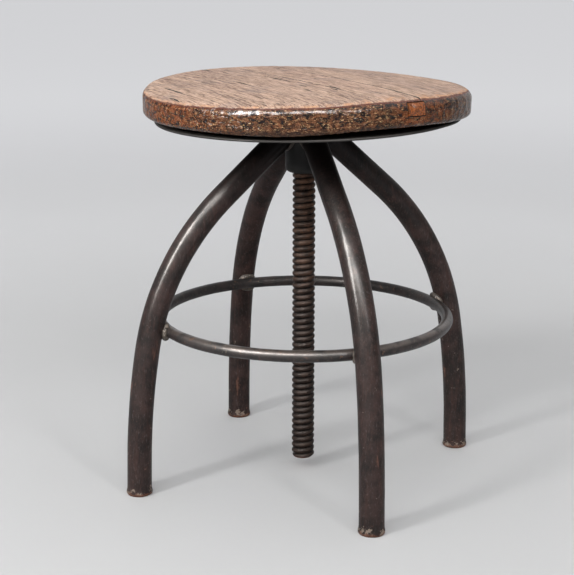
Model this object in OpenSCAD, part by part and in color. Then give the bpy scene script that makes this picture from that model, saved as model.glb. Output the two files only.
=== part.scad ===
// Adjustable swivel stool: a cupped wooden seat on a steel disc, a coarse screw that raises
// it as it turns, a threaded hub, four bent tube legs and a round foot ring.
// Millimetres. +Z is up along the screw, the floor is z = 0 and the origin is on the floor
// under the screw. -Y is the front. The seat is drawn at its lowest position.

/* [Seat] */
// Diameter of the wooden seat
seat_d = 359; // [300:1:420]
// Thickness of the seat at its middle
seat_t = 32.5; // [20:0.5:45]
// Underside of the seat over the floor, at its middle
seat_z = 417.3; // [380:0.1:460]
// How far the seat's rim hangs below its middle, across the grain
cup = 7; // [0:0.5:12]
// Direction of the grain, as an angle from +X
grain_az = -62; // [-180:1:180]
// Distances of the two glue joints from the middle, across the grain
joint_at = [-8, 42]; // [-150:1:150]
// Rounding of the top edge
edge_top = 11; // [2:0.5:14]
// Rounding of the bottom edge
edge_bottom = 8; // [2:0.5:14]
// Patch let into the rim: width, height and depth
patch = [22, 13, 9]; // [4:0.5:40]
// Direction of the patch from the middle
patch_az = -52; // [-180:1:180]
// Top of the patch below the top of the seat's middle
patch_drop = 9; // [4:0.5:20]

/* [Plate] */
// Diameter of the steel disc under the seat
plate_d = 338; // [280:1:400]
// Thickness of the steel disc
plate_t = 3; // [2:0.5:6]
// Underside of the disc over the floor
plate_z = 407.9; // [380:0.1:450]
// Radius at which the seat's screws stand
fix_r = 128; // [60:1:150]
// Number of those screws
fix_n = 8; // [4:1:12]
// Shank diameter of those screws
fix_d = 5; // [3:0.5:8]

/* [Screw] */
// Diameter over the thread's crests
screw_d = 25.8; // [16:0.1:36]
// Depth of the thread
thread_depth = 2.5; // [1:0.1:4]
// Rise in one turn
pitch = 7; // [3:0.5:12]
// Lower end of the screw over the floor
screw_z = 14; // [5:0.5:60]
// Diameter of the plain end that goes through the disc
neck_d = 20; // [10:0.5:24]
// Clearance of the thread in the hub, radially
fit_r = 0.4; // [0.25:0.05:1]
// Clearance of the thread in the hub, along the axis
fit_z = 0.3; // [0.2:0.05:0.6]

/* [Hub] */
// Diameter of the hub
hub_d = 42; // [34:0.5:60]
// Underside of the hub over the floor
hub_z = 350; // [300:0.5:380]
// Height of the hub
hub_h = 55; // [30:0.5:80]
// Rounding of the hub's lower edge
hub_round = 6; // [1:0.5:8]
// Thickness of the loose washer on the hub
washer_t = 2.3; // [1:0.1:4]

/* [Legs] */
// Outer diameter of the leg tube
tube_d = 26.9; // [20:0.1:34]
// Wall of the leg tube
tube_wall = 2.6; // [1.5:0.1:4]
// Distance of a foot's centre from the axis
foot_r = 198.4; // [150:0.1:260]
// Inward lean of a leg at the floor
foot_lean = 1; // [0:0.1:10]
// Length of the straight run above the floor
foot_run = 40.2; // [20:0.1:120]
// Radius of the gentle bend low down
low_r = 839; // [300:1:1500]
// Angle of the gentle bend
low_a = 8; // [0:0.1:30]
// Straight run between the two bends
mid_run = 4; // [2:0.5:40]
// Radius of the main bend
main_r = 279; // [150:1:500]
// Angle of the main bend
main_a = 39.3; // [20:0.1:60]
// Directions of the left, front, right and back legs
leg_az = [-155.3, -68.9, 22.3, 114.5]; // [-180:0.1:180]
// Thickness of the plug that closes a foot
cap_t = 4; // [2:0.5:8]

/* [Foot ring] */
// Diameter of the round bar
bar_d = 12.7; // [8:0.1:20]
// Radius of the ring's centreline
ring_r = 162.4; // [120:0.1:200]
// Height of the ring's centreline over the floor
ring_z = 182; // [100:0.5:260]

/* [Hidden] */
$fn = 96;
gap = 0.3;
weld_gap = 0.25;
floor_cut = 6;
lap = 0.5;
step = 0.1;
hub_top = hub_z + hub_h;
washer_z = hub_top + gap;
disc_top = plate_z + plate_t;
seat_r = seat_d / 2;
seat_top = seat_z + seat_t;
bore_d = tube_d - 2 * tube_wall;
mid_lean = foot_lean + low_a;
hub_lean = mid_lean + main_a;
main_z = foot_run * cos(foot_lean) + low_r * (sin(mid_lean) - sin(foot_lean)) + mid_run * cos(mid_lean);
main_x = foot_r - foot_run * sin(foot_lean) - low_r * (cos(foot_lean) - cos(mid_lean))
  - mid_run * sin(mid_lean);
ring_lean = asin((ring_z - main_z) / main_r + sin(mid_lean));
ring_leg_x = main_x - main_r * (cos(mid_lean) - cos(ring_lean));
hub_leg_z = main_z + main_r * (sin(hub_lean) - sin(mid_lean))
  + (main_x - main_r * (cos(mid_lean) - cos(hub_lean)) - hub_d / 2) / tan(hub_lean);
screw_r = screw_d / 2;
root_r = screw_r - thread_depth;
turn_steps = 20;

// ---- colours

module painted() { color([0.10, 0.085, 0.08]) children(); }
module bright() { color([0.35, 0.30, 0.26]) children(); }
module timber(c) { color(c) children(); }

// ---- a threaded rod with flat ends, as one closed skin

// One point of the skin. The profile runs root, root, crest, crest over one pitch, and what
// would pass an end is pulled onto that end at the root.
function thread_pt(s, j, z0, z1, lo, hi, grow) =
  let (
    zs = [-0.14, 0.14, 0.36, 0.64] * pitch + [grow, -grow, -grow, grow],
    z = z0 - 2 * pitch + pitch * s / turn_steps + zs[j],
    out = z <= z0 || z >= z1,
    r = out || j < 2 ? lo : hi,
    a = 360 * (s % turn_steps) / turn_steps
  )
  [r * cos(a), r * sin(a), min(max(z, z0), z1)];

module threaded_rod(z0, z1, lo, hi, grow = 0) {
  stations = ceil((z1 - z0) / pitch + 4) * turn_steps;
  pts = [for (s = [0:stations]) for (j = [0:3]) thread_pt(s, j, z0, z1, lo, hi, grow)];
  ends = len(pts);
  // the profile's fifth point is its first one a turn later
  at = function(s, j) j < 4 ? 4 * s + j : 4 * (s + turn_steps);
  quads = [for (s = [0:stations - turn_steps - 1]) for (j = [0:3])
    [at(s, j), at(s + 1, j), at(s + 1, j + 1), at(s, j + 1)]];
  skin = [for (q = quads) each [[q[0], q[2], q[1]], [q[0], q[3], q[2]]]];
  real = [for (t = skin) if (pts[t[0]] != pts[t[1]] && pts[t[1]] != pts[t[2]] && pts[t[2]] != pts[t[0]]) t];
  last = stations - turn_steps;
  caps = [for (i = [0:turn_steps - 1]) each [
    [ends, at(i, 0), at(i + 1, 0)],
    [ends + 1, at(last + i + 1, 0), at(last + i, 0)]
  ]];
  polyhedron(points = concat(pts, [[0, 0, z0], [0, 0, z1]]), faces = concat(real, caps), convexity = 20);
}

// ---- legs

// Moves things from the start of a bend to its end. Bends go towards the local -X.
module along(radius, angle) {
  translate([-radius, 0, 0]) rotate([0, -angle, 0]) translate([radius, 0, 0]) children();
}

// A straight length. It laps into the bends beside it and is a hair thinner than they are,
// so that no two faces of the union lie on each other.
module run(length, d) {
  translate([0, 0, -lap]) cylinder(h = length + 2 * lap, d = d - step);
  translate([0, 0, length]) children();
}

module bend(radius, angle, d) {
  translate([-radius, 0, 0]) rotate([90, 0, 0])
    rotate_extrude(angle = angle, $fn = 360) translate([radius, 0]) rotate(17) circle(d = d, $fn = 96);
  along(radius, angle) children();
}

// The whole path of a leg as a solid rod
module rod(d) {
  run(foot_run + floor_cut, d) bend(low_r, low_a, d) run(mid_run, d)
    bend(main_r, main_a, d) run(110, d);
}

// Puts things in the frame of a foot, which starts a little below the floor
module at_foot(az) {
  rotate([0, 0, az]) translate([foot_r, 0, 0]) rotate([0, -foot_lean, 0])
    translate([0, 0, -floor_cut]) children();
}

module above_floor() {
  difference() {
    children();
    translate([-300, -300, -50]) cube([600, 600, 50]);
  }
}

// A tube whose rim is spread a little at the floor, coped to the hub and cut level on top
module leg(az) {
  painted() difference() {
    at_foot(az) {
      rod(tube_d);
      cylinder(h = 12, d1 = tube_d + 2.8, d2 = tube_d - 0.8);
    }
    at_foot(az) rod(bore_d);
    translate([-300, -300, -50]) cube([600, 600, 50]);
    translate([0, 0, hub_z - 60]) cylinder(h = 160, d = hub_d);
    translate([0, 0, plate_z - 0.4]) cylinder(h = 60, r = 90);
  }
}

module leg_left() { leg(leg_az[0]); }
module leg_front() { leg(leg_az[1]); }
module leg_right() { leg(leg_az[2]); }
module leg_back() { leg(leg_az[3]); }

module foot_cap(az) {
  painted() above_floor() at_foot(az)
    cylinder(h = floor_cut + cap_t, d = bore_d - step);
}

module foot_cap_left() { foot_cap(leg_az[0]); }
module foot_cap_front() { foot_cap(leg_az[1]); }
module foot_cap_right() { foot_cap(leg_az[2]); }
module foot_cap_back() { foot_cap(leg_az[3]); }

// ---- hub

module hub() {
  painted() difference() {
    translate([0, 0, hub_z]) rotate_extrude() difference() {
      union() {
        translate([0, hub_round]) square([hub_d / 2, hub_h - hub_round]);
        square([hub_d / 2 - hub_round, hub_round + 1]);
        translate([hub_d / 2 - hub_round, hub_round]) circle(r = hub_round);
      }
      translate([-50, -5]) square([50, 100]);
    }
    threaded_rod(hub_z - 2 * pitch, hub_top + 2 * pitch, root_r + fit_r, screw_r + fit_r, fit_z);
  }
}

// Puts things on a leg's axis where it meets the hub, with +Z down along the leg
module at_hub(az) {
  rotate([0, 0, az]) translate([hub_d / 2, 0, hub_leg_z]) rotate([0, 180 - hub_lean, 0]) children();
}

// A bead round each leg's end
module hub_welds() {
  painted() difference() {
    for (az = leg_az) at_hub(az) translate([0, 0, -3]) cylinder(h = 12, d1 = tube_d + 10, d2 = tube_d - 1);
    translate([0, 0, hub_z - 60]) cylinder(h = 160, d = hub_d);
    for (az = leg_az) at_hub(az) translate([0, 0, -40]) cylinder(h = 80, d = tube_d);
    translate([0, 0, plate_z - 0.4]) cylinder(h = 60, r = 90);
  }
}

// ---- foot ring

module ring_bar() {
  translate([0, 0, ring_z]) rotate_extrude($fn = 720) translate([ring_r, 0])
    circle(d = bar_d, $fn = 96);
}

module foot_ring() { painted() ring_bar(); }

// Two lumps of weld in the corners between the ring and a leg
module ring_weld(az, size) {
  painted() difference() {
    for (side = [-1, 1]) rotate([0, 0, az]) translate([ring_r + 3.5, side * 8, ring_z])
      sphere(r = size);
    ring_bar();
    rotate([0, 0, az]) translate([ring_leg_x, 0, ring_z]) rotate([0, -ring_lean, 0])
      translate([0, 0, -40]) cylinder(h = 80, d = tube_d + 2 * weld_gap);
  }
}

module ring_weld_left() { ring_weld(leg_az[0], 7); }
module ring_weld_front() { ring_weld(leg_az[1], 6); }
module ring_weld_right() { ring_weld(leg_az[2], 6.5); }
module ring_weld_back() { ring_weld(leg_az[3], 6); }

// ---- what turns and rises

module thrust_washer() {
  bright() translate([0, 0, washer_z]) difference() {
    cylinder(h = washer_t, d = hub_d - 3);
    translate([0, 0, -1]) cylinder(h = washer_t + 2, d = screw_d + 1.2);
  }
}

module screw() {
  bright() union() {
    threaded_rod(screw_z, plate_z, root_r, screw_r);
    translate([0, 0, plate_z - 1]) cylinder(h = plate_t + 2, d = neck_d);
  }
}

module spindle_weld() {
  painted() translate([0, 0, disc_top]) difference() {
    cylinder(h = 3, r1 = neck_d / 2 + 4, r2 = neck_d / 2 + 1);
    translate([0, 0, -1]) cylinder(h = 5, d = neck_d);
  }
}

module fix_holes(d, h) {
  for (i = [0:fix_n - 1]) rotate([0, 0, grain_az + 360 * (i + 0.5) / fix_n])
    translate([fix_r, 0, plate_z - 5]) cylinder(h = h, d = d, $fn = 32);
}

module seat_plate() {
  painted() difference() {
    translate([0, 0, plate_z]) cylinder(h = plate_t, d = plate_d);
    translate([0, 0, plate_z - 1]) cylinder(h = plate_t + 2, d = neck_d);
    fix_holes(fix_d, 20);
  }
}

module seat_screws() {
  bright() for (i = [0:fix_n - 1]) rotate([0, 0, grain_az + 360 * (i + 0.5) / fix_n])
    translate([fix_r, 0, plate_z]) {
      cylinder(h = 22, d = fix_d, $fn = 32);
      translate([0, 0, -3]) rotate_extrude()
        polygon([[0, 0], [3, 0], [4.5, 1.2], [4.5, 3], [0, 3]]);
    }
}

// ---- seat

// The seat's half section: rings of points from the middle of the top to that of the bottom
function seat_section() =
  concat(
    [for (r = [60, 115, 150, seat_r - edge_top]) [r, seat_t]],
    [for (a = [22.5:22.5:90]) [seat_r - edge_top * (1 - sin(a)), seat_t - edge_top * (1 - cos(a))]],
    [for (a = [0:30:90]) [seat_r - edge_bottom * (1 - cos(a)), edge_bottom * (1 - sin(a))]],
    [for (r = [150, 115, 60]) [r, 0]]
  );

// A round slab, bent down at both sides of the grain
module seat_slab() {
  steps = 72;
  rings = seat_section();
  n = len(rings);
  pts = [for (p = rings) for (i = [0:steps - 1])
    let (a = 360 * i / steps, side = p[0] * sin(a) / seat_r)
    [p[0] * cos(a), p[0] * sin(a), p[1] - cup * side * side]];
  at = function(k, i) k * steps + i % steps;
  skin = [for (k = [0:n - 2]) for (i = [0:steps - 1]) each [
    [at(k, i), at(k + 1, i + 1), at(k, i + 1)],
    [at(k, i), at(k + 1, i), at(k + 1, i + 1)]
  ]];
  ends = [for (i = [0:steps - 1]) each [
    [n * steps, at(0, i), at(0, i + 1)],
    [n * steps + 1, at(n - 1, i + 1), at(n - 1, i)]
  ]];
  translate([0, 0, seat_z]) rotate([0, 0, grain_az])
    polyhedron(points = concat(pts, [[0, 0, seat_t], [0, 0, 0]]), faces = concat(skin, ends), convexity = 4);
}

module seat_body() {
  difference() {
    seat_slab();
    fix_holes(fix_d, 27);
  }
}

module patch_block() {
  rotate([0, 0, patch_az]) translate([seat_d / 2 - patch[2], -patch[0] / 2, seat_top - patch_drop - patch[1]])
    cube([patch[2] + 5, patch[0], patch[1]]);
}

// The part of the seat between two distances across the grain
module seat_strip(from, to) {
  difference() {
    intersection() {
      seat_body();
      rotate([0, 0, grain_az]) translate([-250, from, seat_z - 40]) cube([500, to - from, 120]);
    }
    patch_block();
  }
}

module seat_board_left() { timber([0.42, 0.24, 0.13]) seat_strip(-200, joint_at[0]); }
module seat_board_middle() { timber([0.45, 0.26, 0.14]) seat_strip(joint_at[0], joint_at[1]); }
module seat_board_right() { timber([0.40, 0.23, 0.12]) seat_strip(joint_at[1], 200); }

module seat_patch() {
  timber([0.62, 0.36, 0.16]) intersection() {
    seat_body();
    patch_block();
  }
}

leg_left();
leg_front();
leg_right();
leg_back();
foot_cap_left();
foot_cap_front();
foot_cap_right();
foot_cap_back();
hub();
hub_welds();
foot_ring();
ring_weld_left();
ring_weld_front();
ring_weld_right();
ring_weld_back();
thrust_washer();
screw();
spindle_weld();
seat_plate();
seat_screws();
seat_board_left();
seat_board_middle();
seat_board_right();
seat_patch();
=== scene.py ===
"""Adjustable swivel stool: the looks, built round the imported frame. Metres, +Z up, -Y the front."""

from math import atan2, cos, exp, hypot, pi, radians, sin, sqrt

import bmesh
import bpy
from mathutils import Matrix, Vector, noise


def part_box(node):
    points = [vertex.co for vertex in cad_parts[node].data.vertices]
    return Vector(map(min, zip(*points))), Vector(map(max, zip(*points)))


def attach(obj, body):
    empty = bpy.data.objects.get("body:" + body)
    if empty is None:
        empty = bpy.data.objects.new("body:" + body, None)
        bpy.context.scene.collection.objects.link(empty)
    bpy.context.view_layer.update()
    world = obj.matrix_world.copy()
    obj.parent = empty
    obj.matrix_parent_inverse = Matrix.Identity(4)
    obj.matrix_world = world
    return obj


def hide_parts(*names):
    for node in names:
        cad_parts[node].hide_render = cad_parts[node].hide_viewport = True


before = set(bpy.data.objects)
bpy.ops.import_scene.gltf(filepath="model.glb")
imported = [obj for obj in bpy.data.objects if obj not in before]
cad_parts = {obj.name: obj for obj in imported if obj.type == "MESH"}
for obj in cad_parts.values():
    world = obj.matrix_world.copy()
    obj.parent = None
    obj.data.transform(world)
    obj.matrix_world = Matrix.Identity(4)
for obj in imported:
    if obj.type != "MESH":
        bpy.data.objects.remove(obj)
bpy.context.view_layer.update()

# ---- sizes: the frame gives the places, and these are the shapes between them

LEGS = ("left", "front", "right", "back")
BOARDS = ("seat_board_left", "seat_board_middle", "seat_board_right")

GRAIN = radians(-62)  # direction of the grain from +X
JOINTS = (-0.008, 0.042)  # the glue joints' distances from the middle, across the grain
JOINT_GAP = 0.00012  # how far a board stays back from its joint
SEAT_T = 0.0325  # thickness of the seat
RIPPLE_ROOM = 0.0004  # how far the top stays below the frame's, to leave room for ripples
CUP = 0.007  # fall of the rim beside the grain
FRONT_SAG = 0.0025  # how much lower the front lies than the middle
RIGHT_SAG = 0.0015  # and the right
FRONT_WEAR = 0.003  # how much the front of the top is worn down
SEAT_SHIFT = 0.0024  # the rim of the wood stands this far off to +X
SEAT_OVAL = 1.006  # and the wood is this much wider than deep
EDGE_TOP = 0.011  # rounding of the seat's top edge
EDGE_BOTTOM = 0.007  # and of its lower edge
EDGE_RAISE = 0.0018  # the lower edge is this much above the flat underside
EDGE_DIP = 0.0040  # but comes down by this much over the front of the disc

PATCH = (0.018, 0.022, 0.013)  # the let-in block: towards the axis, along the rim, up
POCKET = (0.0192, 0.0244, 0.0152)  # the hole that it sits in
PATCH_IN = 0.002  # the block's middle lies this far in from the rim, which trims the block
PATCH_DOWN = 0.0125  # and this far below the top

PLATE_BORE = 0.0105  # the hole in the disc under the seat
PLATE_SHIFT = 0.0035  # the disc is bent: its rim stands this far off to +X
PLATE_HANG = 0.0054  # and hangs this far at the left front
PLATE_RISE = 0.0012  # but stands up by this much at the most on the other side

PITCH = 0.007  # rise of the thread in one turn
THREAD_DEPTH = 0.003
THREAD_SHAPE = 0.6  # below 1 the grooves are narrower than the crests
THREAD_PLAY = 0.0003  # room between the screw and the hub
THREAD_STEP = 0.0005  # spacing of the thread's rings
SCREW_SIDES = 56
NECK_R = 0.010  # the plain upper end of the screw

TUBE_R = 0.01345  # the legs' tube
TUBE_WALL = 0.0026
TUBE_SIDES = 64
FOOT_LEAN = radians(1)  # how much a leg leans on the floor
# length and turn of each stretch of a leg, from the floor up, and the spacing of its rings. The length of a
# bend is its radius times its turn
LEG_RUNS = (
    (0.012, 0, 0.0007),
    (0.0282, 0, 0.004),
    (0.839 * radians(8), radians(8), 0.004),
    (0.004, 0, 0.004),
    (0.279 * radians(39.3), radians(39.3), 0.004),
    (0.130, 0, 0.005),
)
LEG_COPE_R = 0.019  # the legs end this far from the screw's axis, inside the hub's wall

BAR_R = 0.00635  # the foot ring's bar
RING_WELD = (0.0088, 0.0072)  # half the width and half the height of its weld to a leg
HUB_ROUND = 0.006  # rounding of the hub's lower edge
HUB_DROP = 0.003  # how much further down the worn hub reaches than the frame's

seat_top = max(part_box(name)[1].z for name in BOARDS)
seat_r = max(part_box(name)[1].x for name in BOARDS)
plate_low, plate_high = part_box("seat_plate")
screw_low, screw_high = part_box("screw")
hub_low, hub_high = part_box("hub")
ring_low, ring_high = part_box("foot_ring")
plate_r = plate_high.x
screw_r = screw_high.x
hub_r = hub_high.x
ring_r = ring_high.x - BAR_R
ring_z = (ring_low.z + ring_high.z) / 2
patch_low, patch_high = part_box("seat_patch")
patch_middle = (patch_low + patch_high) / 2


def foot_of(side):
    """A foot's distance from the axis and its direction."""
    low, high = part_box("foot_cap_" + side)
    return hypot(low.x + high.x, low.y + high.y) / 2, atan2(low.y + high.y, low.x + high.x)


# ---- mesh tools

def rough(point, size, seed=0.0):
    """Smooth random value of about -1 to 1 that changes over the given size."""
    return noise.noise(Vector(point) / size + Vector((seed, seed * 1.7, -seed)))


def new_object(name, data):
    """An object in the scene, with the given data."""
    piece = bpy.data.objects.new(name, data)
    bpy.context.scene.collection.objects.link(piece)
    return piece


def smooth(mesh, sharp=35):
    """Smooth shading, except along edges sharper than an angle in degrees."""
    mesh.shade_smooth()
    mesh.set_sharp_from_angle(angle=radians(sharp))


def make(name, vertices, faces):
    """A mesh object with outward normals."""
    mesh = bpy.data.meshes.new(name)
    mesh.from_pydata([tuple(v) for v in vertices], [], faces)
    edit = bmesh.new()
    edit.from_mesh(mesh)
    bmesh.ops.recalc_face_normals(edit, faces=edit.faces)
    edit.to_mesh(mesh)
    edit.free()
    smooth(mesh)
    return new_object(name, mesh)


def skin(rings, closed=False):
    """Vertices and faces of the skin over a row of rings of points, with an end face on the first and last
    ring, or joined into a loop when closed."""
    count = len(rings[0])
    vertices = [point for ring in rings for point in ring]
    faces = []
    for i in range(len(rings) if closed else len(rings) - 1):
        here, there = i * count, (i + 1) % len(rings) * count
        for j in range(count):
            k = (j + 1) % count
            faces.append((here + j, here + k, there + k, there + j))
    if not closed:
        faces.append(tuple(range(count)))
        faces.append(tuple(range(len(vertices) - count, len(vertices))))
    return vertices, faces


def settle(piece, sharp=35):
    """Turns a piece's modifiers into its mesh."""
    mesh = bpy.data.meshes.new_from_object(piece.evaluated_get(bpy.context.evaluated_depsgraph_get()))
    piece.modifiers.clear()
    piece.data = mesh
    smooth(mesh, sharp)


def carve(piece, cutter, operation="DIFFERENCE"):
    """Cuts a closed piece with another, which is then gone. Cut faces take its material, if it has one."""
    cut = piece.modifiers.new("cut", "BOOLEAN")
    cut.operation = operation
    cut.solver = "MANIFOLD"
    if cutter.data.materials:
        cut.material_mode = "TRANSFER"
    cut.object = cutter
    settle(piece)
    bpy.data.objects.remove(cutter)


def circle(radius, height, sides):
    """Points of a level circle round the axis."""
    turns = [2 * pi * j / sides for j in range(sides)]
    return [(radius * cos(turn), radius * sin(turn), height) for turn in turns]


def cylinder(radius, low, high):
    """A plain cylinder on the axis, for cutting."""
    return make("cutter", *skin([circle(radius, height, 96) for height in (low, high)]))


def block(size, middle, turn):
    """A plain box of the given size about a point, turned about +Z, for cutting."""
    x, y, z = (value / 2 for value in size)
    rings = [[(-x, -y, h), (x, -y, h), (x, y, h), (-x, y, h)] for h in (-z, z)]
    cutter = make("cutter", *skin(rings))
    cutter.data.transform(Matrix.Translation(middle) @ Matrix.Rotation(turn, 4, "Z"))
    return cutter


def lathe(section, sides, bend=tuple):
    """Rings of a section of (radius, height) points turned about the axis. bend moves each point."""
    return [[bend(point) for point in circle(radius, height, sides)] for radius, height in section]


def arc(radius, centre, start, end, steps):
    """Points (radius, height) of a section along an arc, by angles in degrees from straight outwards."""
    angles = [radians(start + (end - start) * i / steps) for i in range(steps + 1)]
    return [(centre[0] + radius * cos(a), centre[1] + radius * sin(a)) for a in angles]


# ---- the seat's shape

def grain_place(s, t, z=0.0):
    """The point s along the grain and t across it."""
    return Vector((s * cos(GRAIN) - t * sin(GRAIN), s * sin(GRAIN) + t * cos(GRAIN), z))


def across(x, y):
    """How far a point lies across the grain."""
    return y * cos(GRAIN) - x * sin(GRAIN)


def sag(x, y):
    """How far the top lies below seat_top: cupped across the grain, lower at the front and right."""
    fall = CUP * (across(x, y) / seat_r) ** 2 + FRONT_SAG * (max(-y, 0) / seat_r) ** 1.3
    return RIPPLE_ROOM + fall + RIGHT_SAG * (max(x, 0) / seat_r) ** 3


def wear(x, y):
    """How much of the top is worn down at a place."""
    outwards = min(hypot(x, y) / seat_r, 1.0)
    return FRONT_WEAR * max(0.0, -y / seat_r + 0.2) * outwards ** 3


def underside(x, y):
    """How far the lower edge is raised in the direction of a place."""
    from_front = (atan2(y, x) - radians(-98)) / radians(24)
    return EDGE_RAISE - EDGE_DIP * exp(-from_front ** 2)


def seat_point(point):
    """A point of the flat, round slab, moved to where the worn and cupped seat has it."""
    x, y, z = point
    radius = hypot(x, y)
    outwards = min(radius / seat_r, 1.0)
    height = (z - seat_top + SEAT_T) / SEAT_T  # 0 at the underside, 1 at the top
    z -= sag(x, y) + wear(x, y) * max(height, 0.0)
    z += (1 - height) * underside(x, y) * max(0.0, outwards - 0.7) / 0.3
    # the top has ripples along the grain, and the rim is worn and dented
    if height > 0.9:
        ripple_at = (x * cos(GRAIN) + y * sin(GRAIN), across(x, y) * 7, 0)
        z += 0.00022 * rough(ripple_at, 0.045) + 0.00010 * rough(ripple_at, 0.012, 4)
    worn = 0.0010 * rough((x, y, z), 0.050, 9) + 0.00045 * rough((x, y, z), 0.014, 3)
    dents = max(0.0, rough((x, y, 0), 0.011, 21) - 0.38) * 0.004 * (height > 0.5)
    push = (worn - dents) * max(0.0, outwards - 0.9) / 0.1
    scale = 1 + push / max(radius, 0.01)
    return (x * scale * SEAT_OVAL + SEAT_SHIFT * outwards, y * scale, z - max(0.0, -push) * 0.4)


def seat_slab():
    """The whole seat before it is cut into boards."""
    bottom = seat_top - SEAT_T
    inner, steps = 0.004, 56  # radius of the end faces in the middle, and circles from there to the edge
    flat = [inner + i * (seat_r - EDGE_TOP - inner) / steps for i in range(steps)]
    section = [(radius, seat_top) for radius in flat]
    section += arc(EDGE_TOP, (seat_r - EDGE_TOP, seat_top - EDGE_TOP), 90, 0, 14)
    section += [(seat_r, seat_top - EDGE_TOP - i * 0.0015) for i in range(1, 9)]
    section += arc(EDGE_BOTTOM, (seat_r - EDGE_BOTTOM, bottom + EDGE_BOTTOM), 0, -90, 10)
    section += [(radius, bottom) for radius in flat[::-4]]
    return make("slab", *skin(lathe(section, 600, seat_point)))


def crack_cutter(material, t, start, end, width, depth, seed=0.0):
    """A thin wedge that opens a crack in the top, at t across the grain and from start to end along it."""
    above = 0.004  # how far the wedge reaches out of the wood
    side = grain_place(0, 1)
    stations = max(8, int((end - start) / 0.003))
    rings = []
    for i in range(stations + 1):
        u = i / stations
        s = start + (end - start) * u
        wander = 0.0016 * rough((s, t, 0), 0.030, seed) + 0.0005 * rough((s, t, 0), 0.008, seed)
        spot = grain_place(s, t + wander)
        surface = seat_top - sag(spot.x, spot.y) - wear(spot.x, spot.y)
        open_share = (0.08 + sin(pi * u) ** 0.6) * (1 + 0.5 * rough((s, t, 0), 0.012, seed + 5))
        half = side * (width / 2 * open_share * (1 + above / depth))
        lid = spot + Vector((0, 0, surface + above))
        bottom = spot + Vector((0, 0, surface - depth * open_share))
        rings.append([lid + half, lid - half, bottom])
    cutter = make("cutter", *skin(rings))
    paint(cutter, material)
    return cutter


# the open cracks in the top: distance across the grain, start and end along it, width and depth
CRACKS = (
    (-0.022, -0.074, 0.028, 0.0028, 0.0026),
    (-0.027, 0.036, 0.058, 0.0028, 0.0020),
    (-0.004, 0.062, 0.092, 0.0034, 0.0024),
    (-0.012, 0.080, 0.098, 0.0028, 0.0020),
    (-0.072, -0.036, 0.026, 0.0018, 0.0018),
    (-0.150, -0.052, 0.030, 0.0024, 0.0024),
    (-0.168, 0.016, 0.050, 0.0026, 0.0022),
    (0.036, -0.150, -0.120, 0.0014, 0.0016),
    (0.100, -0.060, -0.020, 0.0010, 0.0012),
    (0.118, 0.030, 0.075, 0.0010, 0.0012),
    (-0.050, -0.168, -0.132, 0.0022, 0.0028),
)
# the same for the glue joints: both are fine grooves, and the second gapes towards the front
JOINT_GAPS = (
    (JOINTS[0], -0.184, 0.184, 0.0012, 0.0014),
    (JOINTS[1], -0.184, 0.184, 0.0012, 0.0014),
    (JOINTS[1], 0.050, 0.240, 0.0026, 0.0022),
)


# ---- materials: procedural, in the object's own coordinates, in millimetres

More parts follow.
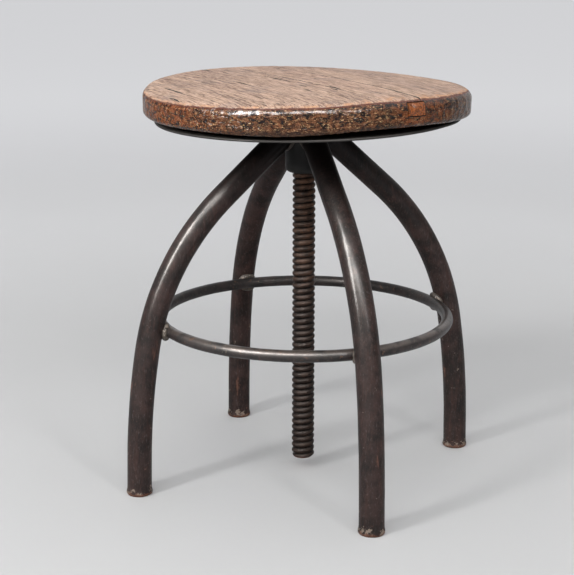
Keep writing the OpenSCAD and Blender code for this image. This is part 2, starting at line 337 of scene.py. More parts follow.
class Paint:
    """A material being put together. Its methods add nodes and return their output sockets."""

    def __init__(self, name):
        self.material = bpy.data.materials.new(name)
        self.material.use_nodes = True
        self.tree = self.material.node_tree
        self.shader = self.tree.nodes["Principled BSDF"]
        metres = self.add("TexCoord").outputs["Object"]
        self.mm = self.vector_math("MULTIPLY", metres, (1000, 1000, 1000))
        self.x, self.y, self.z = self.add("SeparateXYZ", {0: self.mm}).outputs
        self.around = self.math("ARCTAN2", self.y, self.x)

    def add(self, kind, inputs=None, **settings):
        """A new node with its settings, and with values or other nodes' outputs put into its inputs."""
        node = self.tree.nodes.new("ShaderNode" + kind)
        for key, value in settings.items():
            setattr(node, key, value)
        for key, value in (inputs or {}).items():
            self.put(node.inputs[key], value)
        return node

    def put(self, socket, value):
        """Links an input to an output, or sets it to a value."""
        if isinstance(value, bpy.types.NodeSocket):
            self.tree.links.new(value, socket)
        else:
            socket.default_value = value

    def set(self, **inputs):
        """Sets the shader's inputs, by their names with _ for each space."""
        for key, value in inputs.items():
            self.put(self.shader.inputs[key.replace("_", " ")], value)

    def math(self, operation, a, b=0.0):
        return self.add("Math", {0: a, 1: b}, operation=operation).outputs[0]

    def vector_math(self, operation, a, b):
        return self.add("VectorMath", {0: a, 1: b}, operation=operation).outputs[0]

    def plus(self, a, b):
        return self.math("ADD", a, b)

    def minus(self, a, b):
        return self.math("SUBTRACT", a, b)

    def times(self, a, b):
        return self.math("MULTIPLY", a, b)

    def radius(self):
        """Distance from the vertical axis."""
        return self.math("SQRT", self.plus(self.times(self.x, self.x), self.times(self.y, self.y)))

    def stretched(self, scale, turn=0.0, offset=(0, 0, 0)):
        """The place in millimetres, turned about +Z, moved and then scaled."""
        turned = self.add("VectorRotate", {"Vector": self.mm, "Angle": turn}, rotation_type="Z_AXIS")
        moved = self.vector_math("ADD", turned.outputs[0], offset)
        return self.vector_math("MULTIPLY", moved, scale)

    def noise(self, size, detail=4.0, roughness=0.55, vector=None, distortion=0.0):
        """Noise whose lumps are about size millimetres, from 0 to 1."""
        inputs = {"Vector": vector or self.mm, "Scale": 1 / size, "Detail": detail}
        inputs.update({"Roughness": roughness, "Distortion": distortion})
        return self.add("TexNoise", inputs).outputs["Fac"]

    def wobble(self, amount, size, detail, roughness):
        """Noise about 0, whose whole range is the given amount."""
        return self.times(self.minus(self.noise(size, detail, roughness), 0.5), amount)

    def range(self, value, low, high, to_low=0.0, to_high=1.0):
        """value from low..high to to_low..to_high, smoothly and clamped."""
        inputs = {"Value": value, "From Min": low, "From Max": high, "To Min": to_low, "To Max": to_high}
        return self.add("MapRange", inputs, interpolation_type="SMOOTHSTEP").outputs[0]

    def by_turn(self, start, end, to_low=0.0, to_high=1.0):
        """The same for the direction from the vertical axis, in degrees from +X."""
        return self.range(self.around, radians(start), radians(end), to_low, to_high)

    def mix(self, share, a, b):
        """Colour a, going over to colour b as the share goes from 0 to 1."""
        return self.add("Mix", {"Factor": share, 6: a, 7: b}, data_type="RGBA").outputs[2]

    def bump(self, height, distance, strength=1.0, under=None):
        """A relief, on top of another one if that is given."""
        inputs = {"Height": height, "Distance": distance, "Strength": strength}
        if under is not None:
            inputs["Normal"] = under
        return self.add("Bump", inputs).outputs[0]


def rgb(red, green, blue):
    """A colour as a picture shows it (0 to 255), in the linear values that the shader wants."""
    linear = [((c / 255 + 0.055) / 1.055) ** 2.4 if c > 10 else c / 3294.6 for c in (red, green, blue)]
    return (*linear, 1.0)


def depth_in_seat(p):
    """How far a point lies below the cupped top of the seat."""
    across_grain = p.add("SeparateXYZ", {0: p.stretched((1, 1, 1), -GRAIN)}).outputs[1]
    side = p.math("DIVIDE", across_grain, seat_r * 1000)
    front = p.math("DIVIDE", p.math("MAXIMUM", p.times(p.y, -1), 0), seat_r * 1000)
    cup = p.times(p.times(side, side), CUP * 1000)
    fall = p.plus(cup, p.times(p.math("POWER", front, 1.3), FRONT_SAG * 1000))
    return p.minus(seat_top * 1000, p.plus(p.z, fall))


def bare_colour(p, seed, tint, along, fibres, pores):
    """The worn top: pale bands along the grain with dark fibres, grey stains that are partly painted sheen,
    and pores.
    """
    grain = p.noise(1.5, 4, 0.7, p.stretched((0.09, 1, 1), -GRAIN, (0, seed * 40, 0)))
    bands = p.noise(11, 4, 0.55, along, 1.2)
    stains_and_sheen = p.noise(42, 4, 0.6)
    colour = p.mix(p.range(bands, 0.35, 0.68), rgb(*tint), rgb(191, 159, 136))
    colour = p.mix(p.range(fibres, 0.45, 0.60, 0, 0.62), colour, rgb(90, 64, 51))
    colour = p.mix(p.range(grain, 0.54, 0.40, 0, 0.5), colour, rgb(208, 181, 161))
    colour = p.mix(p.range(grain, 0.50, 0.64, 0, 0.55), colour, rgb(74, 53, 43))
    # grey patches: partly real stains, partly painted sheen standing in for the grey reflection of the room
    colour = p.mix(p.range(stains_and_sheen, 0.48, 0.70, 0, 0.5), colour, rgb(136, 118, 111))
    return p.mix(p.times(pores, 0.8), colour, rgb(38, 25, 20))


def orange_share(p):
    """Where the varnish looks warm: on the left, at the right front and in places at the back."""
    left = p.by_turn(-105, -150)
    right = p.times(p.by_turn(-62, -55), p.by_turn(-30, -42))
    behind = p.times(p.range(p.noise(60, 2), 0.42, 0.60), p.range(p.y, -20, 60))
    share = p.math("MAXIMUM", p.math("MAXIMUM", left, right), behind)
    return p.times(share, p.range(p.noise(16, 4, 0.6), 0.30, 0.52, 0.35, 1.0))


def varnish_colour(p, mottle):
    """The edge: dark or warm varnish with light and dark flecks, with painted shade on the right and darker
    at the far left.
    """
    flecks = p.noise(1.5, 5, 0.75, p.stretched((0.45, 0.45, 1)), 1.0)
    dark = p.mix(p.range(mottle, 0.40, 0.60), rgb(18, 10, 7), rgb(112, 69, 42))
    warm = p.mix(p.range(mottle, 0.40, 0.60), rgb(36, 16, 8), rgb(143, 75, 33))
    colour = p.mix(orange_share(p), dark, warm)
    colour = p.mix(p.range(flecks, 0.56, 0.64, 0, 0.85), colour, rgb(206, 168, 120))
    colour = p.mix(p.range(flecks, 0.46, 0.38, 0, 0.9), colour, rgb(14, 8, 6))
    # darker towards both ends of the edge: painted shade on the right, away from the key lamp, and darker
    # at the far left
    for start, end, share in ((-75, -35, 0.45), (-135, -165, 0.30)):
        colour = p.mix(p.by_turn(start, end, 0, share), colour, rgb(26, 15, 10))
    return colour


def rim_marks(p, colour, below):
    """Adds the red line where the varnish starts, and the bare rim just above it."""
    line = p.plus(below, p.wobble(3.5, 9, 5, 0.65))
    red_line = p.times(p.range(line, -0.9, -0.3), p.range(line, 1.5, 0.6))
    worn_rim = p.times(p.range(line, -2.6, -1.7), p.range(line, -0.2, -0.8))
    worn_rim = p.times(worn_rim, p.range(p.noise(13, 5, 0.7), 0.43, 0.61))
    colour = p.mix(p.times(red_line, 0.85), colour, rgb(82, 32, 14))
    return p.mix(p.times(worn_rim, 0.6), colour, rgb(202, 148, 106))


def wood_relief(p, fibres, pores, varnish, polished):
    """Fibres and pores all over, and dimples in the varnish, flatter where it is polished."""
    height = p.plus(p.times(fibres, 0.5), p.times(pores, -0.7))
    fine = p.bump(height, 0.0004, p.range(varnish, 0, 1, 0.55, 0.15))
    pits = p.times(p.noise(2.6, 2, 0.5), p.by_turn(-108, -128, 0.25, 1.0))
    waves = p.noise(3.4, 2, 0.5, p.stretched((0.3, 0.3, 1)))
    dimples = p.plus(p.plus(pits, waves), p.noise(9, 1, 0.5))
    strength = p.minus(p.range(varnish, 0, 1, 0.03, 1), p.times(polished, 0.6))
    return p.bump(dimples, 0.0013, strength, fine)


def wood(name, seed, tint):
    """Old varnished wood: worn and paler on top, dark and mottled round the edge."""
    p = Paint(name)
    along = p.stretched((0.045, 1, 1), -GRAIN, (seed * 300, seed * 170, seed * 50))
    fibres = p.noise(3.2, 7, 0.70, along, 0.4)
    pore_place = p.stretched((0.08, 1, 1), -GRAIN, (seed * 90, 0, 0))
    pores = p.range(p.noise(2.6, 4, 0.72, pore_place), 0.56, 0.65)
    mottle = p.noise(4.4, 7, 0.72, p.stretched((0.6, 0.6, 1)), 0.8)

    # the finish is worn away down to a ragged line, higher on the right
    depth = depth_in_seat(p)
    worn_front = p.by_turn(-86, -62, 6.7, 4.8)
    worn_back = p.by_turn(130, 175, 0, 1.9)
    below = p.minus(depth, p.plus(worn_front, worn_back))
    varnish = p.range(p.plus(below, p.wobble(4.0, 6, 6, 0.7)), -0.5, 0.8)
    polished = p.times(p.range(below, 7.5, 5), p.by_turn(-122, -112))
    polished = p.times(varnish, polished)

    bare = bare_colour(p, seed, tint, along, fibres, pores)
    colour = rim_marks(p, p.mix(varnish, bare, varnish_colour(p, mottle)), below)
    # painted shade: the rim darkens towards the seat's underside
    colour = p.mix(p.range(depth, 25, 31, 0, 0.6), colour, rgb(52, 34, 26))
    rough_top = p.range(p.noise(16, 5, 0.6), 0.35, 0.70, 0.64, 0.76)
    rough_edge = p.range(mottle, 0.35, 0.70, 0.18, 0.34)
    roughness = p.add("Mix", {"Factor": varnish, "A": rough_top, "B": rough_edge}).outputs[0]
    p.set(Base_Color=colour, Roughness=roughness, Specular_IOR_Level=p.range(varnish, 0, 1, 0.12, 0.05))
    coat = p.plus(p.times(varnish, 0.42), p.times(polished, 0.58))
    p.set(Coat_Weight=p.times(coat, p.range(p.y, -90, -135, 0.35, 1)), Coat_Roughness=0.09)
    relief = wood_relief(p, fibres, pores, varnish, polished)
    p.set(Normal=relief, Coat_Normal=relief)
    return p.material


def patch_wood(name):
    """The let-in block: brighter orange under the same varnish."""
    p = Paint(name)
    streaks = p.noise(2.2, 6, 0.65, p.stretched((0.2, 1, 1), -GRAIN), 0.6)
    mottle = p.noise(4, 5, 0.7)
    colour = p.mix(p.range(streaks, 0.35, 0.65), rgb(70, 31, 10), rgb(166, 90, 33))
    colour = p.mix(p.range(mottle, 0.60, 0.74, 0, 0.8), colour, rgb(206, 148, 84))
    colour = p.mix(p.range(mottle, 0.46, 0.34, 0, 0.8), colour, rgb(34, 17, 9))
    relief = p.bump(mottle, 0.0012, 0.7)
    p.set(Base_Color=colour, Roughness=p.range(mottle, 0.3, 0.7, 0.20, 0.36), Specular_IOR_Level=0.2)
    p.set(Coat_Weight=0.45, Coat_Roughness=0.14, Normal=relief, Coat_Normal=relief)
    return p.material


def patina_and_hub_shade(p, clouds):
    """Brown-black with streaks, scratches and specks, and painted shade up at the hub, nearly black under
    the seat.
    """
    streaks = p.noise(5, 6, 0.66, p.stretched((1, 1, 0.14)), 0.5)
    specks = p.noise(1.5, 4, 0.7)
    colour = p.mix(p.range(clouds, 0.35, 0.66), rgb(27, 20, 18), rgb(52, 37, 34))
    colour = p.mix(p.range(streaks, 0.48, 0.72, 0, 0.5), colour, rgb(70, 44, 37))
    scratches = p.noise(1.8, 5, 0.72, p.stretched((1, 1, 0.3)), 0.3)
    colour = p.mix(p.range(scratches, 0.54, 0.70, 0, 0.35), colour, rgb(98, 86, 82))
    colour = p.mix(p.range(scratches, 0.46, 0.34, 0, 0.4), colour, rgb(16, 10, 9))
    colour = p.mix(p.range(specks, 0.64, 0.76, 0, 0.4), colour, rgb(112, 102, 96))
    # painted shade under the seat: the tube goes nearly black towards the hub
    return p.mix(p.range(p.z, 300, 390, 0, 0.92), colour, rgb(8, 7, 7))


def floor_wear(p):
    """Where the tube is chipped and where it is rusty: mostly near the floor."""
    chips = p.range(p.plus(p.noise(9, 5, 0.7), p.range(p.z, 22, 0, 0, 0.16)), 0.66, 0.70)
    chips = p.times(chips, p.range(p.z, 240, 40, 0.08, 0.75))
    rust = p.range(p.plus(p.noise(5, 5, 0.7), p.range(p.z, 7, 0, 0, 0.30)), 0.60, 0.72)
    rust = p.times(rust, p.range(p.z, 120, 6, 0.12, 0.8))
    return chips, rust


def lacquered_steel(name, coat):
    """A leg's tube: patina under clear lacquer, chipped and rusty below, with brown runs above that."""
    p = Paint(name)
    clouds = p.noise(26, 6, 0.62)
    chips, rust = floor_wear(p)
    runs = p.range(p.noise(9, 4, 0.6, p.stretched((1, 1, 0.2))), 0.64, 0.70)
    runs = p.times(runs, p.range(p.z, 190, 130, 0, 0.55))
    colour = p.mix(chips, patina_and_hub_shade(p, clouds), rgb(134, 118, 104))
    colour = p.mix(rust, colour, rgb(96, 58, 40))
    colour = p.mix(runs, colour, rgb(118, 78, 60))
    worn = p.math("MAXIMUM", chips, rust)
    roughness = p.plus(p.range(clouds, 0.3, 0.7, 0.15, 0.25), p.times(worn, 0.3))
    grain = p.plus(p.noise(3, 5, 0.6), p.times(p.noise(1.1, 3, 0.6), 0.35))
    relief = p.bump(grain, 0.0004, 0.24)
    p.set(Base_Color=colour, Roughness=0.6, Specular_IOR_Level=0.05, Normal=relief, Coat_Normal=relief)
    p.set(Coat_Weight=p.range(p.z, 290, 390, coat, coat * 0.4), Coat_Roughness=roughness)
    return p.material


def ring_steel(name):
    """The foot ring: dark, and polished along the top where feet rest, with a painted highlight on that top
    at the front.
    """
    p = Paint(name)
    clouds = p.noise(14, 6, 0.65)
    specks = p.noise(2.2, 5, 0.7)
    colour = p.mix(p.range(clouds, 0.36, 0.64), rgb(20, 16, 16), rgb(42, 33, 31))
    top = p.range(p.minus(p.z, ring_z * 1000), 1.5, 5.2)
    # real polish on the top, which also sets metallic and roughness, and a painted highlight: its paler
    # colour only at the front, where the front lamp catches it
    polish_and_painted_highlight = p.times(top, p.range(p.noise(24, 4, 0.6), 0.34, 0.60))
    polish_and_painted_highlight = p.times(polish_and_painted_highlight, p.range(p.y, 0, -80))
    colour = p.mix(p.times(polish_and_painted_highlight, 0.35), colour, rgb(128, 117, 110))
    rust = p.range(p.noise(8, 5, 0.7), 0.58, 0.68)
    colour = p.mix(p.times(rust, 0.45), colour, rgb(104, 72, 52))
    colour = p.mix(p.range(specks, 0.62, 0.74, 0, 0.6), colour, rgb(160, 148, 128))
    relief = p.bump(p.noise(3, 5, 0.65), 0.0007, 0.35)
    p.set(Base_Color=colour, Metallic=p.range(polish_and_painted_highlight, 0, 1, 0.1, 0.3), Specular_IOR_Level=0.2)
    p.set(Roughness=p.range(polish_and_painted_highlight, 0, 1, 0.50, 0.30), Normal=relief, Coat_Normal=relief)
    p.set(Coat_Weight=p.range(p.y, 60, -60, 0.15, 0.40), Coat_Roughness=0.14)
    return p.material


def weld_metal(name, tone):
    """Rough weld with grey-brown scale and some rust."""
    p = Paint(name)
    clouds = p.noise(4, 6, 0.7)
    colour = p.mix(p.range(clouds, 0.35, 0.62), rgb(40, 34, 30), rgb(*tone))
    colour = p.mix(p.range(p.noise(2.4, 5, 0.7), 0.58, 0.70, 0, 0.7), colour, rgb(150, 120, 98))
    p.set(Base_Color=colour, Metallic=0.15, Specular_IOR_Level=0.3)
    p.set(Roughness=p.range(clouds, 0.3, 0.7, 0.36, 0.60), Normal=p.bump(p.noise(1.6, 5, 0.7), 0.0012, 0.9))
    return p.material


def screw_steel(name):
    """Oily dark brown thread: paler on the crests, with painted shade black in the grooves, darker further
    down.
    """
    p = Paint(name)
    crest = p.range(p.radius(), (screw_r - THREAD_DEPTH) * 1000 + 0.3, screw_r * 1000 - 0.2)
    clouds = p.noise(9, 5, 0.65)
    bands = p.noise(20, 3, 0.5, p.stretched((0.3, 0.3, 1)))
    brown = p.mix(p.range(clouds, 0.36, 0.64), rgb(36, 27, 23), rgb(84, 61, 48))
    brown = p.mix(p.range(bands, 0.50, 0.66, 0, 0.6), brown, rgb(58, 49, 44))
    brown = p.mix(p.range(p.z, 300, 170, 0, 0.8), brown, rgb(32, 24, 21))
    # painted shade: the grooves near black between the paler crests
    colour = p.mix(crest, rgb(9, 7, 6), brown)
    rust = p.range(p.z, screw_low.z * 1000 + 1.6, screw_low.z * 1000 + 0.2)
    colour = p.mix(p.times(rust, 0.8), colour, rgb(132, 70, 42))
    p.set(Base_Color=colour, Metallic=0.1, Specular_IOR_Level=0.08)
    p.set(Roughness=p.range(clouds, 0.3, 0.7, 0.32, 0.52), Normal=p.bump(p.noise(1.6, 5, 0.7), 0.0010, 0.8))
    return p.material


def dark_steel(name, base, other, gloss=0.45):
    """Painted or blackened steel with dust and small marks."""
    p = Paint(name)
    clouds = p.noise(18, 6, 0.62)
    colour = p.mix(p.range(clouds, 0.35, 0.65), rgb(*base), rgb(*other))
    colour = p.mix(p.range(p.noise(3, 5, 0.7), 0.64, 0.74, 0, 0.4), colour, rgb(118, 92, 74))
    p.set(Base_Color=colour, Metallic=0.1, Roughness=p.range(clouds, 0.3, 0.7, gloss - 0.08, gloss + 0.12))
    p.set(Specular_IOR_Level=0.3, Normal=p.bump(p.noise(4, 5, 0.6), 0.0005, 0.35))
    return p.material


def paint(piece, material):
    """Gives a piece one material."""
    piece.data.materials.clear()
    piece.data.materials.append(material)


def place(piece, material, body, slot, *nodes):
    """Finishes a piece: its material, unless it has one, its body and the nodes it replaces. The slot is
    not used.
    """
    if material:
        paint(piece, material)
    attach(piece, body)
    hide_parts(*nodes)


# ---- seat

BOARD_TINTS = ((160, 131, 115), (168, 136, 120), (163, 134, 119))  # the boards' bare wood, from the left


def open_cracks(board, low, high, material):
    """Cuts the cracks of the board between two distances across the grain, and the gaps at its joints."""
    for first_seed, rows, reach in ((0, CRACKS, 0.0), (30, JOINT_GAPS, 0.001)):
        for number, row in enumerate(rows):
            # the reach lets a joint's gap cut both of its boards
            if low - reach < row[0] < high + reach:
                carve(board, crack_cutter(material, *row, first_seed + number))


def build_seat():
    """Three boards cut from one slab, and the block let into their rim."""
    slab = seat_slab()
    crack = dark_steel("dark_crack", (14, 9, 7), (22, 14, 10), 0.9)
    patch_turn = atan2(patch_middle.y, patch_middle.x) + radians(1)
    patch_place = Vector((cos(patch_turn), sin(patch_turn), 0)) * (seat_r - PATCH_IN)
    patch_place.z = seat_top - sag(patch_place.x, patch_place.y) - PATCH_DOWN
    limits = (-0.3, *JOINTS, 0.3)  # the first and last lie outside the rim
    for i, node in enumerate(BOARDS):
        board = new_object(node.replace("seat_board", "board"), slab.data.copy())
        paint(board, wood("wood_" + board.name, i + 1, BOARD_TINTS[i]))
        low, high = limits[i] + JOINT_GAP, limits[i + 1] - JOINT_GAP
        strip = block((0.5, high - low, 0.2), grain_place(0, (low + high) / 2, seat_top), GRAIN)
        carve(board, strip, "INTERSECT")
        open_cracks(board, low, high, crack)
        # the patch sits in the joint of the second and third boards
        if i > 0:
            pocket = block(POCKET, patch_place, patch_turn)
            paint(pocket, crack)
            carve(board, pocket)
        place(board, None, "seat", "board", node)
    patch = new_object("patch", slab.data.copy())
    carve(patch, block(PATCH, patch_place, patch_turn), "INTERSECT")
    place(patch, patch_wood("patch_wood"), "seat", "patch_wood", "seat_patch")
    bpy.data.objects.remove(slab)


def plate_point(point):
    """A point of the flat disc, moved to where the bent one has it."""
    x, y, z = point
    outwards = hypot(x, y) / plate_r
    hang = 0.0001 + PLATE_HANG * cos(atan2(y, x) - radians(-135))
    z -= max(hang, -PLATE_RISE) * outwards ** 3
    z += 0.0005 * rough((x, y, 0), 0.09, 5) * outwards ** 3
    return (x + PLATE_SHIFT * outwards ** 2, y, z)


def build_plate():
    """The bent steel disc under the seat, with a rounded rim."""
    low, high = plate_low.z, plate_high.z
    lip = (high - low) / 2
    flat_r, steps = plate_r - 0.0035, 30  # the flat part's radius, and circles from the bore to there
    flat = [PLATE_BORE + i * (flat_r - PLATE_BORE) / steps for i in range(steps + 1)]
    section = [(r, low) for r in flat]
    section += arc(lip, (plate_r - lip, low + lip), -90, 90, 8)
    section += [(r, high) for r in flat[::-1]]
    plate = make("plate", *skin(lathe(section, 240, plate_point), closed=True))
    steel = dark_steel("plate_steel", (22, 20, 19), (40, 36, 33), 0.62)
    place(plate, steel, "seat", "plate_steel", "seat_plate")


# ---- screw and hub

def threaded_rings(low, high, play=0.0):
    """Rings of a right-hand knuckle thread in step with the frame's thread. The hub's has some play."""
    rings = []
    count = int((high - low) / THREAD_STEP)
    for i in range(count + 1):
        z = low + (high - low) * i / count
        # the screw's thread fades out at its lower end
        taper = 1.0 if play else min(1.0, 0.35 + (z - low) / 0.004)
        ring = []
        for j in range(SCREW_SIDES):
            turn = 2 * pi * j / SCREW_SIDES
            phase = (z - screw_low.z) / PITCH - turn / (2 * pi)
            rise = abs(sin(pi * phase)) ** THREAD_SHAPE
            radius = screw_r + play - THREAD_DEPTH * (1 - rise * taper)
            if not play:
                radius += 0.00012 * rough((radius * cos(turn), radius * sin(turn), z), 0.004, 2)
            ring.append((radius * cos(turn), radius * sin(turn), z))
        rings.append(ring)
    return rings


def build_screw():
    """The screw: thread up to the disc and a plain neck above it."""
    thread = threaded_rings(screw_low.z, plate_low.z)
    neck = ((NECK_R, plate_low.z + 0.0002), (NECK_R, screw_high.z - 0.001), (NECK_R - 0.001, screw_high.z))
    screw = make("threaded_screw", *skin(thread + lathe(neck, SCREW_SIDES)))
    place(screw, screw_steel("screw_steel"), "seat", "screw_steel", "screw")


def uneven(point):
    """A point of the hub, pushed in or out a little."""
    push = 1 + 0.006 * rough(point, 0.012, 7)
    return (point[0] * push, point[1] * push, point[2])


def build_hub():
    """The hub: rounded below, with the screw's thread cut through it."""
    low, high = hub_low.z - HUB_DROP, hub_high.z
    wall_low, wall_high = low + HUB_ROUND, high - 0.001
    core = 0.004  # inside the thread, so nothing is left of it
    section = [(core, low), (0.010, low)]
    section += arc(HUB_ROUND, (hub_r - HUB_ROUND, wall_low), -90, 0, 10)
    section += [(hub_r, wall_low + (wall_high - wall_low) * i / 12) for i in range(1, 13)]
    section += [(hub_r - 0.001, high), (core, high)]
    hub = make("hub_body", *skin(lathe(section, 120, uneven)))
    carve(hub, make("cutter", *skin(threaded_rings(low - PITCH, high + PITCH, THREAD_PLAY))))
    # painted shade: near-black steel, darkened further to stand in for the shade under the seat
    place(hub, dark_steel("hub_steel", (8, 7, 7), (16, 14, 13), 0.6), "base", "hub_steel", "hub")


# ---- legs

def leg_line():
    """Points (distance from the axis, height, lean, length so far) along a leg's centreline."""
    distance, height, lean, length = foot_of("left")[0], 0.0, FOOT_LEAN, 0.0
    line = [(distance, height, lean, length)]
    for run, turn, step in LEG_RUNS:
        count = max(1, round(run / step))
        for _ in range(count):
            middle = lean + turn / count / 2
            distance -= run / count * sin(middle)
            height += run / count * cos(middle)
            lean += turn / count
            length += run / count
            line.append((distance, height, lean, length))
    return line


LEG_LINE = leg_line()


def leg_radius_at(height):
    """Distance of the legs' centreline from the axis at a height."""
    for low, high in zip(LEG_LINE, LEG_LINE[1:]):
        if low[1] <= height <= high[1]:
            share = (height - low[1]) / (high[1] - low[1])
            return low[0] + share * (high[0] - low[0])
    return LEG_LINE[-1][0]


def spot_at(direction, out, side, height):
    """The point this far out from the axis in a direction, this far to its left and this high."""
    x = out * cos(direction) - side * sin(direction)
    y = out * sin(direction) + side * cos(direction)
    return Vector((x, y, height))


def leg_rings(direction, radius, shape):
    """Rings of points round the leg's centreline, square to it. shape(length, turn) adds to the radius."""
    rings = []
    for distance, height, lean, length in LEG_LINE:
        ring = []
        for j in range(TUBE_SIDES):
            turn = 2 * pi * j / TUBE_SIDES
            r = radius + shape(length, turn)
            out = distance + r * cos(turn) * cos(lean)
            # the first ring lies flat on the floor
            up = height + r * cos(turn) * sin(lean) if length else 0.0
            ring.append(spot_at(direction, out, r * sin(turn), up))
        rings.append(ring)
    return rings


def build_leg(side, seed):
    """A bent tube from the floor to the hub."""
    direction = foot_of(side)[1]

    def outside(length, turn):
        """What the spread and chipped foot, and small dents all along, add to the tube's radius."""
        spread = 0.0009 * exp(-((length - 0.0022) / 0.0034) ** 2) - 0.0010 * exp(-length / 0.0008)
        at = (TUBE_R * cos(turn), TUBE_R * sin(turn), length)
        chipped = 0.0005 * rough(at, 0.006, seed) * exp(-length / 0.004)
        return spread + chipped + 0.00012 * rough(at, 0.030, seed)

    outer = leg_rings(direction, TUBE_R, outside)
    inner = leg_rings(direction, TUBE_R - TUBE_WALL, lambda length, turn: 0.0)
    leg = make("leg_tube_" + side, *skin(outer + inner[::-1], closed=True))
    carve(leg, cylinder(LEG_COPE_R, 0.3, 0.5))
    trim = plate_low.z - 0.0004  # nothing of the leg may reach the disc
    carve(leg, block((0.2, 0.2, 0.08), Vector((0, 0, trim + 0.04)), 0))
    place(leg, STEEL[side], "base", "tube", "leg_" + side)


# ---- ring and welds

def build_ring():
    """The round bar inside the legs."""
    steps, sides = 540, 28
    rings = []
    for i in range(steps):
        a = 2 * pi * i / steps
        ring = []
        for j in range(sides):
            b = 2 * pi * j / sides
            bar = BAR_R + 0.00010 * rough((a * ring_r, BAR_R * cos(b), BAR_R * sin(b)), 0.012, 6)
            out = ring_r + bar * cos(b)
            ring.append((out * cos(a), out * sin(a), ring_z + bar * sin(b)))
        rings.append(ring)
    ring = make("foot_ring_bar", *skin(rings, closed=True))
    place(ring, ring_steel("ring_steel"), "base", "ring_steel", "foot_ring")


def bead(name, drops, grain=0.0007):
    """A weld: overlapping drops of metal, given as (centre, radius), melted into one skin."""
    edit = bmesh.new()
    for centre, radius in drops:
        bmesh.ops.create_icosphere(edit, subdivisions=2, radius=radius, matrix=Matrix.Translation(centre))
    mesh = bpy.data.meshes.new(name)
    edit.to_mesh(mesh)
    edit.free()
    piece = new_object(name, mesh)
    melt = piece.modifiers.new("melt", "REMESH")
    melt.mode = "VOXEL"
    melt.voxel_size = grain
    relax = piece.modifiers.new("relax", "SMOOTH")
    relax.iterations = 3
    settle(piece, 60)
    return piece


def build_ring_weld(side, seed):
    """Weld all round the spot where the ring touches a leg, heavier beside the leg."""
    direction = foot_of(side)[1]
    leg_at = leg_radius_at(ring_z)
    count = 26
    drops = []
    for i in range(count):
        turn = 2 * pi * i / count
        wide = RING_WELD[0] * cos(turn) * (1 + 0.12 * rough((i, 0, 0), 2.5, seed))
        up = RING_WELD[1] * sin(turn)
        leg_face = leg_at - sqrt(max(TUBE_R ** 2 - wide ** 2, 0))
        ring_face = ring_r + sqrt(max(BAR_R ** 2 - up ** 2, 0.002 ** 2))
        radius = (leg_face - ring_face) / 2 + 0.0014 + 0.0006 * rough((i, 3, 0), 1.7, seed)
        out = (leg_face + ring_face) / 2 - 0.0004
        drops.append((spot_at(direction, out, wide, ring_z + up), radius))
    weld = bead("weld_" + side, drops)
    place(weld, WELD[side], "base", "weld", "ring_weld_" + side)


def build_hub_welds():
    """A bead along the line where each leg runs into the hub."""
    distance, height, lean = LEG_LINE[-1][:3]
    end = Vector((distance, 0, height))
    down = Vector((sin(lean), 0, -cos(lean)))
    above = Vector((cos(lean), 0, sin(lean)))
    sideways = Vector((0, 1, 0))
    count = 44
    drops = []
    for side in LEGS:
        direction = foot_of(side)[1]
        turn_to = Matrix.Rotation(direction, 4, "Z")
        for i in range(count):
            turn = 2 * pi * i / count
            start = end + (TUBE_R + 0.0006) * (above * cos(turn) + sideways * sin(turn))
            reach = sqrt(max(hub_r ** 2 - start.y ** 2, 0))
            point = start + down * ((reach - start.x) / down.x)
            if point.z < plate_low.z - 0.0044:
                radius = 0.0027 + 0.0006 * rough((i, 0, 0), 2.0, direction)
                drops.append((turn_to @ point, radius))
    welds = bead("welds_at_hub", drops, 0.0008)
    place(welds, WELD["back"], "base", "weld", "hub_welds")


# ---- the small parts that stay as the frame has them

def dress(node, material):
    """Gives one of the frame's own pieces its material."""
    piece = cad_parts[node]
    paint(piece, material)


# ---- camera, light and floor

LAMP_AIM = 0.25  # height of the point that every lamp aims at
LAMP_DISTANCE = 2.6
# name, azimuth and elevation in degrees, width and height, and the watts of the light and of its glints
LAMPS = (
    ("key", -137, 34, 0.34, 1.4, 28, 360),
    ("second", -58, 33, 0.26, 1.1, 10, 70),
    ("front", -99, 42, 1.8, 0.45, 25, 290),
)
# strength of the room: level, straight up, what the wall behind the stool adds, and as the camera sees it
ROOM_LOW, ROOM_HIGH, ROOM_BACK, ROOM_SEEN = 0.27, 1.02, 0.25, 0.7


def set_camera():
    """The photograph's view: a long lens 1.57 m away, a little above the seat, and shifted down."""
    camera = new_object("camera", bpy.data.cameras.new("camera"))
    yaw, pitch, roll = radians(0.692), radians(11.133), radians(0.130)
    forward = Vector((-sin(yaw) * cos(pitch), cos(yaw) * cos(pitch), -sin(pitch)))
    right = Vector((cos(yaw), sin(yaw), 0))
    up = right.cross(forward)
    right, up = right * cos(roll) + up * sin(roll), up * cos(roll) - right * sin(roll)
    turn = Matrix((right, up, -forward)).transposed().to_4x4()
    camera.matrix_world = Matrix.Translation((0, -1.5736, 0.61095)) @ turn
    camera.data.sensor_width = 36
    camera.data.sensor_fit = "HORIZONTAL"
    camera.data.lens = 89.74
    camera.data.shift_y = -0.132
    bpy.context.scene.camera = camera


def softbox(name, azimuth, elevation, width, height, power, glint):
    """A soft lamp aimed at the stool, and one in its place that only shiny faces see, for the glints."""
    level = LAMP_DISTANCE * cos(radians(elevation))
    up = LAMP_AIM + LAMP_DISTANCE * sin(radians(elevation))
    stand = Vector((level * cos(radians(azimuth)), level * sin(radians(azimuth)), up))
    aim = (Vector((0, 0, LAMP_AIM)) - stand).to_track_quat("-Z", "Y").to_euler()
    for kind, watts, colour in (("_light", power, (1, 1, 1)), ("_glint", glint, (1, 0.95, 0.90))):
        light = bpy.data.lights.new(name + kind, "AREA")
        light.shape = "RECTANGLE"
        light.size = width
        light.size_y = height
        light.energy = watts
        light.color = colour
        lamp = new_object(name + kind, light)
        lamp.location = stand
        lamp.rotation_euler = aim
        lamp.visible_diffuse = kind == "_light"


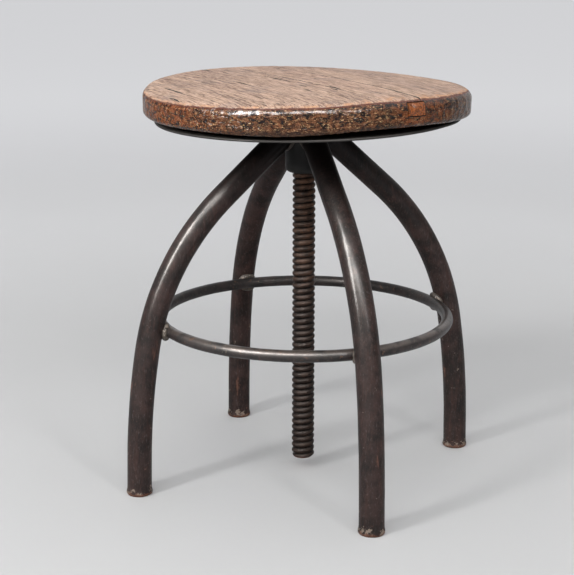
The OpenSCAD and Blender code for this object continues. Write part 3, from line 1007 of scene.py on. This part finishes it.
def room_light():
    """The room all round: brighter overhead, with a lit wall low behind. The camera sees it even."""
    world = bpy.data.worlds.new("studio")
    world.use_nodes = True
    tree = world.node_tree
    towards = tree.nodes.new("ShaderNodeSeparateXYZ")
    tree.links.new(tree.nodes.new("ShaderNodeTexCoord").outputs["Generated"], towards.inputs[0])
    total = tree.nodes.new("ShaderNodeMath")
    ramps = (("Z", 0.0, 1.0, ROOM_LOW, ROOM_HIGH), ("Y", 0.5, 0.9, 0.0, ROOM_BACK))
    for i, (axis, *limits) in enumerate(ramps):
        ramp = tree.nodes.new("ShaderNodeMapRange")
        for socket, value in zip(("From Min", "From Max", "To Min", "To Max"), limits):
            ramp.inputs[socket].default_value = value
        tree.links.new(towards.outputs[axis], ramp.inputs["Value"])
        tree.links.new(ramp.outputs[0], total.inputs[i])
    strength = tree.nodes.new("ShaderNodeMix")
    to_camera = tree.nodes.new("ShaderNodeLightPath").outputs["Is Camera Ray"]
    tree.links.new(to_camera, strength.inputs["Factor"])
    tree.links.new(total.outputs[0], strength.inputs[2])
    strength.inputs[3].default_value = ROOM_SEEN
    background = tree.nodes["Background"]
    background.inputs["Color"].default_value = (0.98, 0.985, 1.0, 1)
    tree.links.new(strength.outputs[0], background.inputs["Strength"])
    bpy.context.scene.world = world


def set_light():
    """Softboxes at the left front, the right front and above the camera, and the room."""
    for lamp in LAMPS:
        softbox(*lamp)
    room_light()
    bpy.context.scene.view_settings.view_transform = "Standard"


def set_floor():
    """A large pale floor, brighter far away, where it goes over into the room: painted light, paler and
    glowing further out, where the lamps reach less.
    """
    half = 30
    corners = [(-half, -half, 0), (half, -half, 0), (half, half, 0), (-half, half, 0)]
    floor = make("floor", corners, [(0, 1, 2, 3)])
    p = Paint("pale_floor")
    away = p.radius()
    near = p.mix(p.noise(300, 4), (0.50, 0.50, 0.50, 1), (0.53, 0.53, 0.53, 1))
    # painted light: the floor is darker near the stool, where the lamps light it most, and paler further
    # out
    colour = p.mix(p.range(away, 500, 1600), near, (0.64, 0.64, 0.645, 1))
    colour = p.mix(p.range(away, 1500, 3200), colour, (0.68, 0.68, 0.69, 1))
    p.set(Base_Color=colour, Roughness=0.9, Specular_IOR_Level=0.0)
    # painted light: the far floor glows, standing in for a lit wall behind
    p.set(Emission_Color=(0.98, 0.985, 1, 1), Emission_Strength=p.range(away, 1600, 4000, 0, 0.11))
    paint(floor, p.material)


set_camera()
set_light()
set_floor()

WELD_TONES = {"left": (104, 96, 86), "front": (84, 74, 66), "right": (90, 80, 72), "back": (74, 66, 58)}
STEEL = {side: lacquered_steel("steel_leg_" + side, 0.2 if side == "back" else 0.35) for side in LEGS}
WELD = {side: weld_metal("weld_" + side, tone) for side, tone in WELD_TONES.items()}

build_seat()
build_plate()
build_screw()
build_hub()
for number, side in enumerate(LEGS):
    build_leg(side, 11.0 + number)
    build_ring_weld(side, 3.0 + number)
    dress("foot_cap_" + side, dark_steel("cap_steel_" + side, (84, 52, 36), (120, 74, 46), 0.6))
build_ring()
build_hub_welds()
dress("thrust_washer", dark_steel("washer_steel", (70, 66, 62), (104, 98, 92), 0.35))
dress("spindle_weld", WELD["back"])
dress("seat_screws", dark_steel("fastener_steel", (78, 72, 66), (110, 100, 90), 0.40))
